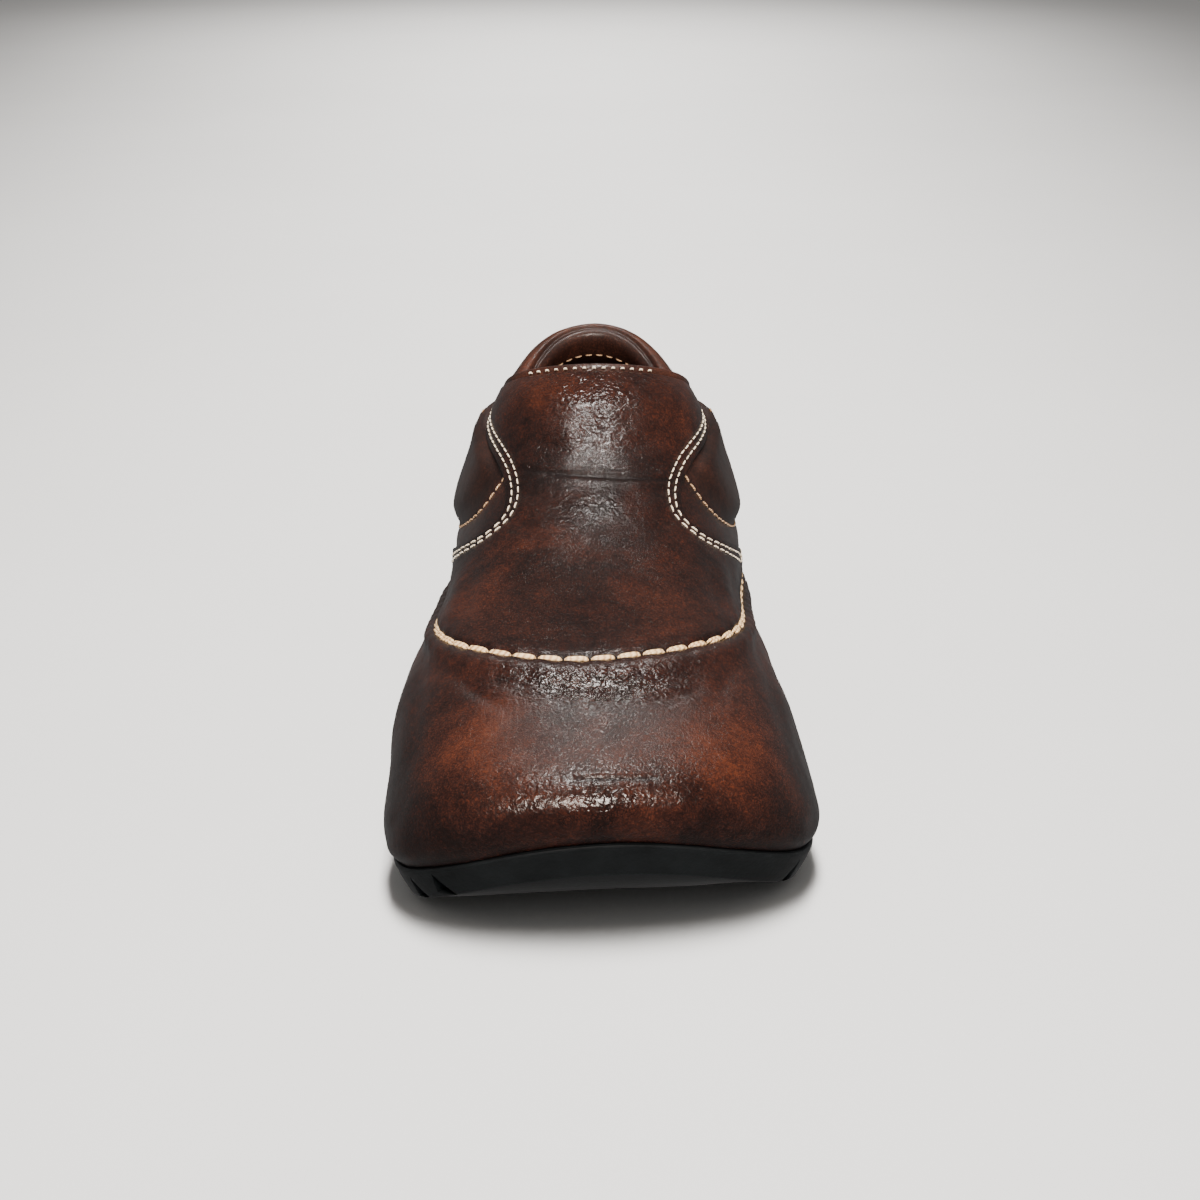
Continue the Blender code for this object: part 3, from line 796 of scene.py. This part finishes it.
def collar_place(u, w):
    share = 1 - 2 * u
    columns, inverse = np.unique(share.round(9), return_inverse=True)
    foot = collar_foot(columns)
    knots = []
    for leg, level, offset, lift in COLLAR_SECTION:
        rise = foot + (TOPLINE - foot) * leg if level is None else np.full_like(columns, level)
        top = ease(5.3, 6.2, rise)
        taper = 1 - (0.85 - 0.5 * top) * ease(0.93 + 0.05 * top, 1.0, np.abs(columns))
        angle = columns * (front_edge(rise) + math.radians(1.2) * (1 - top))
        outer = offset + 1.0 * ease(0.72, 0.9, np.abs(columns)) * ease(5.8, 6.7, rise) * (offset > -0.5)
        if offset > TUCKED:
            drawn = TUCKED + (outer - TUCKED) * taper
        else:
            drawn = offset * (0.55 + 0.45 * taper)
        knots.append(skin(angle, rise, drawn * MM, lift * taper * MM))
    knots = np.array(knots)
    weights = closed_curve_weights(len(COLLAR_SECTION), w)
    points = np.einsum("nk,knc->nc", weights, knots[:, inverse.ravel()])
    out = points - knots.mean(0)[inverse.ravel()]
    out /= np.linalg.norm(out, axis=1, keepdims=True)
    swell = 0.35 * lumps(points, 20 * MM, 7.7) + 0.1 * lumps(points, 7 * MM, 3.3)
    calm = 1 - 0.8 * ease(0.9, 1.0, np.abs(share))
    return points + out * (swell * MM * calm)[:, None]


collar_pad = lasted_grid("collar_pad", 260, 100, collar_place)
mend(collar_pad, merge=0.005 * MM, close_holes=True, turn_out=True)
top_angle = foot_share * front_edge(TOPLINE)
crease_line = skin(top_angle, TOPLINE, -2.5 * MM, 3.2 * MM)
roll_line = skin(top_angle, TOPLINE, 0.2 * MM, 3.3 * MM)
# painted shade: darker in the crease between the two rolls and along the foot by the quarters; lighter along
# the roll's crest
paint_tone(collar_pad, lambda p: beside(p, roll_line[::3], 2.6, 2)
           - 0.5 * beside(p, crease_line[::3], 1.0, 2) - 0.5 * beside(p, foot_line[::4], 3))
finish_piece(collar_pad, "collar_leather", collar_leather)
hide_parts("collar")

# %% [markdown]
# ## The rim at the throat
#
# At the throat the lining is folded over and stands a little above the vamp's edge as a thin rim. It is a
# grid rolled into a tube along the top line, with its lower side drawn out into a leg that goes down behind
# the vamp, so that no light comes through between them.

# %% Throat rim
def rim_place(u, w):
    share = 1 - 2 * u
    angle = math.pi + share * (math.pi - front_edge(TOPLINE) - 0.01)
    turn = -2 * math.pi * w
    across, upward = np.cos(turn), np.sin(turn)
    thin = 1 - 0.6 * ease(0.9, 1.0, np.abs(share))
    leg = ease(0, 1, -upward)
    offset = -0.9 + 0.95 * across * thin * (1 - 0.65 * leg) - 0.8 * leg
    lift = 2.3 + np.where(upward > 0, 0.95 * thin, 3.4) * upward
    return skin(angle, TOPLINE, offset * MM, lift * MM)


throat_rim = lasted_grid("throat_rim", 150, 20, rim_place)
mend(throat_rim, merge=0.005 * MM, close_holes=True, turn_out=True)
paint_tone(throat_rim, lambda p: np.full(len(p), 0.35))
finish_piece(throat_rim, "collar_leather", collar_leather)

# %% [markdown]
# ## Threads
#
# One stitch is modelled: a small sphere drawn out along its length, with its ends turned down into the
# leather. A row is many copies of it, each set on the leather's surface along its seam and joined into
# one mesh. Curves with a bevel would also do, but joined copies keep each stitch separate and light. The
# cross seam has thick cream thread in pairs, the vamp's sides double white rows, the collar single tan ones.

# %% One stitch
def stitch_form(segments, rings, length, width, height):
    """Corners, faces and UVs of one stitch along X, on the ground at Z = 0."""
    bpy.ops.mesh.primitive_uv_sphere_add(segments=segments, ring_count=rings, radius=0.5,
                                         rotation=(0, math.pi / 2, 0))
    made = bpy.context.object
    bpy.ops.object.transform_apply(location=True, rotation=True, scale=True)
    points = corners(made)
    faces = [list(polygon.vertices) for polygon in made.data.polygons]
    maps = np.array([loop.uv for loop in made.data.uv_layers.active.data])
    full = np.sqrt(np.clip(1 - (2 * points[:, 0]) ** 2, 0, 1))
    thick = np.where(full > 0, full ** 0.45 / np.maximum(full, 1e-6), 0)
    x = points[:, 0] * length
    y = points[:, 1] * thick * width
    z = points[:, 2] * thick * height + height * 0.3 - height * 0.8 * np.abs(2 * points[:, 0]) ** 6
    bpy.data.objects.remove(made)
    return np.stack([x, y, z], -1), faces, maps


# %% A row of stitches
def from_faces(name, points, faces):
    mesh = bpy.data.meshes.new(name)
    mesh.from_pydata(points, [], faces)
    piece = bpy.data.objects.new(name, mesh)
    bpy.context.scene.collection.objects.link(piece)
    return piece


def stitch_seat(seat, path, run, place):
    """Point and normal at that run of the path, on the seat."""
    spot = Vector([np.interp(place, run, path[:, c]) for c in range(3)])
    if isinstance(seat, bpy.types.Object):
        return seat.closest_point_on_mesh(spot)[1:3]
    return spot, Vector([np.interp(place, run, seat[:, c]) for c in range(3)])


def sew(name, seat, path, pitch, form, slot, finish, sink=0.0, strands=((0.0, 0.0),), slant=0.0):
    """Sets stitches along a path. seat is the piece they lie on, or the normals of the path itself.
    strands: side shift in metres, turn in degrees."""
    run = run_along(path)
    middles = np.arange(pitch / 2, run[-1] - pitch / 2 + 1e-9, pitch)
    form_points, form_faces, form_maps = form
    points, faces, maps = [], [], []
    for n, middle in enumerate(middles):
        ends = [stitch_seat(seat, path, run, middle + reach * pitch) for reach in (-0.36, 0.0, 0.36)]
        along = (ends[2][0] - ends[0][0]).normalized()
        normal = (ends[0][1] + ends[1][1] + ends[2][1]).normalized()
        side = normal.cross(along).normalized()
        normal = along.cross(side).normalized()
        centre = (ends[0][0] + ends[1][0] * 2 + ends[2][0]) / 4 - normal * sink
        basis = Matrix((along, side, normal)).transposed()
        for shift, turn in strands:
            wobble = 2.5 * noise.noise(Vector((n * 1.7, shift * 900, 4.2)))
            spin = Matrix.Rotation(math.radians(turn + slant + wobble), 3, "Z")
            local = form_points @ np.array(spin).T + np.array((0, shift, 0))
            base = len(form_points) * len(points)
            points.append(local @ np.array(basis).T + np.array(centre))
            faces += [[base + i for i in face] for face in form_faces]
            maps.append(form_maps)
    piece = from_faces(name, np.concatenate(points).tolist(), faces)
    piece.data.uv_layers.new(name="stitch").data.foreach_set("uv", np.concatenate(maps).ravel())
    finish_piece(piece, slot, finish)
    print("   ", len(middles), "stitches in", name)


# %% Hand stitches over the cross seam
hand_form = stitch_form(10, 12, 5.9 * MM, 0.9 * MM, 0.9 * MM)
hand_u = np.linspace(0.012, 0.988, 700)
hand_path = (toe_place(hand_u, np.ones(700)) + vamp_place(hand_u, np.zeros(700))) / 2
hand_normal = last_frame(front_angle(hand_u, SEAM), SEAM)[0]
sew("hand_stitches", hand_normal, hand_path, HAND_STITCH, hand_form, "brown_leather", cream_thread,
    sink=-0.3 * MM, strands=((-0.40 * MM, 2.0), (0.42 * MM, -1.0)), slant=4.0)

# %% Double rows beside the vamp's edges
MACHINE_STITCH, THROAT_STITCH, COLLAR_STITCH = 2.95 * MM, 2.6 * MM, 3.3 * MM
machine_form = stitch_form(8, 9, 2.2 * MM, 0.42 * MM, 0.5 * MM)
for index, row in enumerate(vamp_rows):
    side = "lateral" if index < 2 else "medial"
    sew(f"vamp_row_{side}_{index % 2}", vamp_leather, row, MACHINE_STITCH, machine_form, "brown_leather",
        white_thread, sink=0.05 * MM)

# %% Rows on the quarters, in the throat and inside the collar
row_share = np.linspace(-1.02, 1.02, 500)
row_level = collar_foot(row_share) - 0.06 - 0.08 * ease(0.55, 0.75, np.abs(row_share))
foot_row = skin(row_share * (front_edge(row_level) - SIDE_CLEAR), row_level, -0.9 * MM)
tan_form = stitch_form(8, 9, 2.4 * MM, 0.5 * MM, 0.55 * MM)
sew("quarter_row", quarter_leather, foot_row, MACHINE_STITCH, tan_form, "brown_leather", tan_thread)
throat_form = stitch_form(8, 9, 1.1 * MM, 0.6 * MM, 0.55 * MM)
throat_angle = math.pi + np.linspace(0.41, -0.37, 300) * (math.pi - front_edge(TOPLINE))
throat_row = skin(throat_angle, TOPLINE, -0.2 * MM, 0.95 * MM)
sew("throat_row", last_frame(throat_angle, TOPLINE)[0], throat_row, THROAT_STITCH, throat_form,
    "collar_leather", white_thread)
inside_row = skin(foot_share[20:-20] * front_edge(6.4), 6.4, -6.2 * MM)
sew("collar_inside_row", collar_pad, inside_row, COLLAR_STITCH, machine_form, "collar_leather", tan_thread)
for side, name in ((1, "lateral"), (-1, "medial")):
    end_level = np.linspace(6.4, 6.72, 120)
    end_row = skin(side * (front_edge(end_level) - math.radians(1.6)), end_level, 3 * MM)
    sew(f"collar_end_row_{name}", collar_pad, end_row, MACHINE_STITCH, machine_form, "collar_leather",
        tan_thread)

# %% [markdown]
# ## The sole
#
# The sole is moulded in one piece from black rubber. A circle is given the sole's outline, drawn down ring
# by ring to the tread, and closed. Wedges then cut the notches along its lower edge. The tread is flat
# under the ball and the heel and rises at the toe and the waist.

# %% Outline and tread of the sole
SOLE_RING = 320
FOREFOOT_FLAT, HEEL_FLAT = (56 * MM, 108 * MM), (190 * MM, 256 * MM)
TOE_SPRING, WAIST_RISE, HEEL_ROCKER = 22 * MM, 6 * MM, 2 * MM
# inset from the edge in mm, share of the height
SOLE_SIDE = ((7.0, 1.0), (0.3, 1.0), (-0.35, 0.97), (-0.5, 0.88), (-0.35, 0.8), (0.25, 0.68), (0.6, 0.55),
             (1.6, 0.33), (2.6, 0.12), (3.1, 0.03), (3.7, 0.0))


def sole_bottom(x, y):
    """Height of the tread above the floor. It rises square to the skewed toe; y from the toe tip."""
    y = y - skew(x, y)
    forward = np.clip((FOREFOOT_FLAT[0] - y) / FOREFOOT_FLAT[0], 0, 1.05)
    waist = np.clip((y - FOREFOOT_FLAT[1]) / (HEEL_FLAT[0] - FOREFOOT_FLAT[1]), 0, 1)
    backward = np.clip((y - HEEL_FLAT[1]) / (LENGTH - HEEL_FLAT[1]), 0, 1)
    arch = WAIST_RISE * np.sin(math.pi * waist) ** 2
    return TOE_SPRING * forward ** 3.4 + arch + HEEL_ROCKER * backward ** 2


def sole_outline(count):
    """Points of the sole's edge from the heel round by the lateral side, and their outward directions."""
    angle = np.arange(count) * 2 * math.pi / count
    edge = last_point(angle, 0.0)
    along = np.roll(edge, -1, 0) - np.roll(edge, 1, 0)
    out = np.stack([-along[:, 1], along[:, 0], np.zeros(count)], -1)
    return edge, out / np.linalg.norm(out, axis=1, keepdims=True)


def sole_ring(inset, share):
    edge, out = sole_outline(SOLE_RING)
    ring = edge - out * inset * MM
    low = sole_bottom(ring[:, 0], ring[:, 1])
    ring[:, 2] = low + (edge[:, 2] - 0.35 * MM - low) * share
    return ring + SHIFT


# %% Sole body
def stack_rings(name, rings):
    """A circle moved to the first ring, then extruded to each of the next ones."""
    bpy.ops.mesh.primitive_circle_add(vertices=SOLE_RING, radius=0.1, fill_type="NOTHING")
    piece = bpy.context.object
    piece.name = piece.data.name = name
    move_corners(piece, rings[0])
    for ring in rings[1:]:
        bpy.ops.object.mode_set(mode="EDIT")
        bpy.ops.mesh.extrude_region_move(TRANSFORM_OT_translate={"value": (0, 0, -1 * MM)})
        bpy.ops.object.mode_set(mode="OBJECT")
        points = corners(piece)
        points[-SOLE_RING:] = ring
        move_corners(piece, points)
    return piece


sole = stack_rings("moulded_sole", [sole_ring(*row) for row in SOLE_SIDE])
print("sole rings:", len(sole.data.vertices) // SOLE_RING)

# %% Tread and top of the sole
FILL_SPAN = 40


def fill_ring(piece, first):
    """Fills the ring of corners that starts at that index with a grid, and gives its first new corner."""
    bpy.ops.object.mode_set(mode="EDIT")
    bpy.ops.mesh.select_mode(type="VERT")
    bpy.ops.mesh.select_all(action="DESELECT")
    bpy.ops.object.mode_set(mode="OBJECT")
    before = len(piece.data.vertices)
    for vertex in piece.data.vertices[first:first + SOLE_RING]:
        vertex.select = True
    bpy.ops.object.mode_set(mode="EDIT")
    bpy.ops.mesh.fill_grid(span=FILL_SPAN, use_interp_simple=True)
    bpy.ops.object.mode_set(mode="OBJECT")
    return before


fill_ring(sole, 0)
first_new = fill_ring(sole, SOLE_RING * (len(SOLE_SIDE) - 1))
points = corners(sole)
points[first_new:, 2] = sole_bottom(*(points[first_new:, :2] - SHIFT[:2]).T)
move_corners(sole, points)
print("tread has", len(points) - first_new, "inner corners")

# %% Wedges for the notches
NOTCH_PITCH, NOTCH_WIDTH, NOTCH_HEIGHT = 9.5 * MM, 5.2 * MM, 4.6 * MM
NOTCH_DEPTH, NOTCH_LEAN, NOTCH_OUT, NOTCH_BELOW = 9 * MM, 2.2 * MM, 3 * MM, 1 * MM
CLEAR_LATERAL, CLEAR_MEDIAL = 46 * MM, 28 * MM
# along the edge and upward, for each corner of a wedge
WEDGE = ((-NOTCH_WIDTH / 2, -NOTCH_BELOW), (NOTCH_WIDTH / 2, -NOTCH_BELOW), (NOTCH_LEAN, NOTCH_HEIGHT))
bpy.ops.mesh.primitive_cylinder_add(vertices=len(WEDGE), radius=1, depth=1)
model = bpy.context.object
wedge_faces = [list(polygon.vertices) for polygon in model.data.polygons]
model_x, model_y, model_z = corners(model).T
wedge_corner = np.unique(np.arctan2(model_y, model_x).round(3), return_inverse=True)[1]
wedge_far = model_z > 0
bpy.data.objects.remove(model)
edge, out = sole_outline(2 * SOLE_RING)
run = run_along(edge[:, :2])
cut_points, cut_faces = [], []
for side, clear in ((1, CLEAR_LATERAL), (-1, CLEAR_MEDIAL)):
    for n in range(int((run[SOLE_RING] - clear) // NOTCH_PITCH)):
        reach = NOTCH_PITCH * (n + 0.5)
        i = int(np.argmin(np.abs(run - (reach if side == 1 else run[-1] - reach))))
        along = np.array((-out[i, 1], out[i, 0], 0)) * side
        low = sole_bottom(edge[i, 0], edge[i, 1])
        base = len(cut_points)
        for corner, far in zip(wedge_corner, wedge_far):
            shift, rise = WEDGE[corner]
            foot = edge[i] - out[i] * (NOTCH_DEPTH if far else -NOTCH_OUT) + along * shift
            cut_points.append((foot[0] + SHIFT[0], foot[1] + SHIFT[1], low + rise))
        cut_faces += [[base + k for k in face] for face in wedge_faces]
print(len(cut_points) // len(wedge_corner), "wedges")

# %% Cutting the notches
cutter = from_faces("notch_cutter", cut_points, cut_faces)
for piece in (cutter, sole):
    mend(piece, merge=1e-7, turn_out=True)
apply_modifier(sole, "BOOLEAN", operation="DIFFERENCE", solver="EXACT", object=cutter)
bpy.data.objects.remove(cutter)
finish_piece(sole, "sole_rubber", rubber)
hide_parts("outsole")

# %% [markdown]
# ## The insole
#
# A thin covered sheet lies on the sole inside the shoe. It is seen only through the mouth, dark and plain.

# %% Insole
# inset and rise in mm
BED_SIDE = ((0, 0.1), (0, 2.4), (0.3, 2.9), (1.0, 3.1))


def bed_ring(inset, rise):
    ring = skin(np.arange(SOLE_RING) * 2 * math.pi / SOLE_RING, 0.0, -LAYER - WALL - (1.0 + inset) * MM)
    ring[:, 2] += rise * MM
    return ring


footbed = stack_rings("footbed", [bed_ring(*row) for row in BED_SIDE])
fill_ring(footbed, SOLE_RING * (len(BED_SIDE) - 1))
fill_ring(footbed, 0)
mend(footbed, turn_out=True)
finish_piece(footbed, "insole_lining", insole_cloth)
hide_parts("insole")

# %% [markdown]
# ## Floor and light
#
# The shoe stands on a pale sheet. Waxed leather is judged by its highlights, so each lamp has one task: a
# soft box hangs over the toe, two small lamps make the glints on the toe, the tongue and below the cross
# seam, a broad warm one lights the toe from the front, and a long one the sheet alone. Flags would keep each
# lamp off its neighbour's work in a studio. Here light linking does that, and the sheet is hidden from
# reflections, as its glare would turn the dark leather grey. The rest of the room is a soft warm grey.

# %% Floor
bpy.ops.mesh.primitive_plane_add(size=30)
floor = bpy.context.object
floor.name = "floor_sheet"
floor_paper = plain_finish("pale_floor", (0.70, 0.69, 0.675), (0.73, 0.72, 0.705), 0.85, 3, 400, 0.05, 0.0005)
floor.data.materials.append(floor_paper)
floor.visible_glossy = False
print("floor of", [round(side) for side in floor.dimensions[:2]], "metres")


# %% Lights
def soft_light(name, place, aim, size, power, colour, state, *objects):
    """An area lamp that lights those objects only (INCLUDE) or all but those (EXCLUDE)."""
    turn = (Vector(place) - Vector(aim)).to_track_quat("Z", "Y").to_euler()
    bpy.ops.object.light_add(type="AREA", location=place, rotation=turn)
    made = bpy.context.object
    made.name = name
    made.data.shape = "RECTANGLE"
    made.data.size, made.data.size_y = size
    made.data.energy, made.data.color = power, colour
    group = bpy.data.collections.new(name + "_group")
    made.light_linking.receiver_collection = group
    for index, one in enumerate(objects):
        group.objects.link(one)
        group.collection_objects[index].light_linking.link_state = state
    return made


BOX_WARMTH, LAMP_WARMTH, FRONT_WARMTH = (1.0, 0.91, 0.84), (1.0, 0.95, 0.90), (1.0, 0.87, 0.77)
SHEET_WARMTH = (1.0, 0.985, 0.965)
soft_light("light_over", (0.02, -0.10, 1.25), (0.02, -0.10, 0.05), (0.40, 0.50), 5, BOX_WARMTH,
           "EXCLUDE", vamp_leather)
soft_light("light_glint", (0.04, 0.06, 1.25), (0.04, -0.04, 0.05), (0.12, 0.12), 12, LAMP_WARMTH,
           "EXCLUDE", floor)
soft_light("light_seam", (0.04, 0.98, 1.25), (0.04, 0.10, 0.05), (0.14, 0.14), 5.2, LAMP_WARMTH,
           "EXCLUDE", floor, vamp_leather)
soft_light("light_front", (0.06, -1.15, 0.94), (0, -0.06, 0.05), (0.36, 0.34), 49, FRONT_WARMTH,
           "EXCLUDE", floor)
sheet_light = soft_light("light_sheet", (0, 0.7, 1.7), (0, 0.7, 0), (0.3, 3.4), 22, SHEET_WARMTH,
                         "INCLUDE", floor)
sheet_light.data.spread = math.radians(46)
room = bpy.data.worlds.new("soft_room")
bpy.context.scene.world = room
room.use_nodes = True
backdrop = room.node_tree.nodes["Background"].inputs
backdrop["Color"].default_value = (0.62, 0.61, 0.60, 1)
backdrop["Strength"].default_value = 0.5
